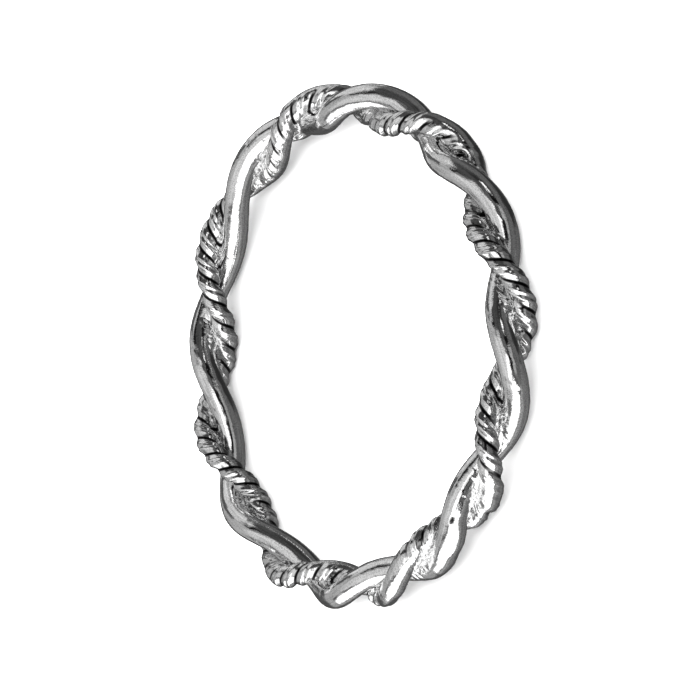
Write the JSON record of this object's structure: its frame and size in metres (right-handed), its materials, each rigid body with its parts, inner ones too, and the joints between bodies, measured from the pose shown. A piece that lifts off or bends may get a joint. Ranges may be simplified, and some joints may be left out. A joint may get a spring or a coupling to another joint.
{
  "type": "woven ring",
  "caption": "Slim finger ring of a smooth round silver wire and a twisted rope wire, wound round each other and closed with a soldered joint.",
  "frame": {"origin": "centre of the finger hole, midway between the ring's two faces", "axes": "+Z along the finger hole, out of the face that is up when the ring lies on its side; +X to the right and +Y up as the ring is first looked at from above"},
  "size_m": [0.0212, 0.0214, 0.0024],
  "materials": {
    "polished_silver": "polished sterling silver, slightly darker in the rope's grooves"
  },
  "bodies": {
    "root": {"plain_wire": "polished_silver", "rope_wire": "polished_silver"}
  },
  "joints": []
}
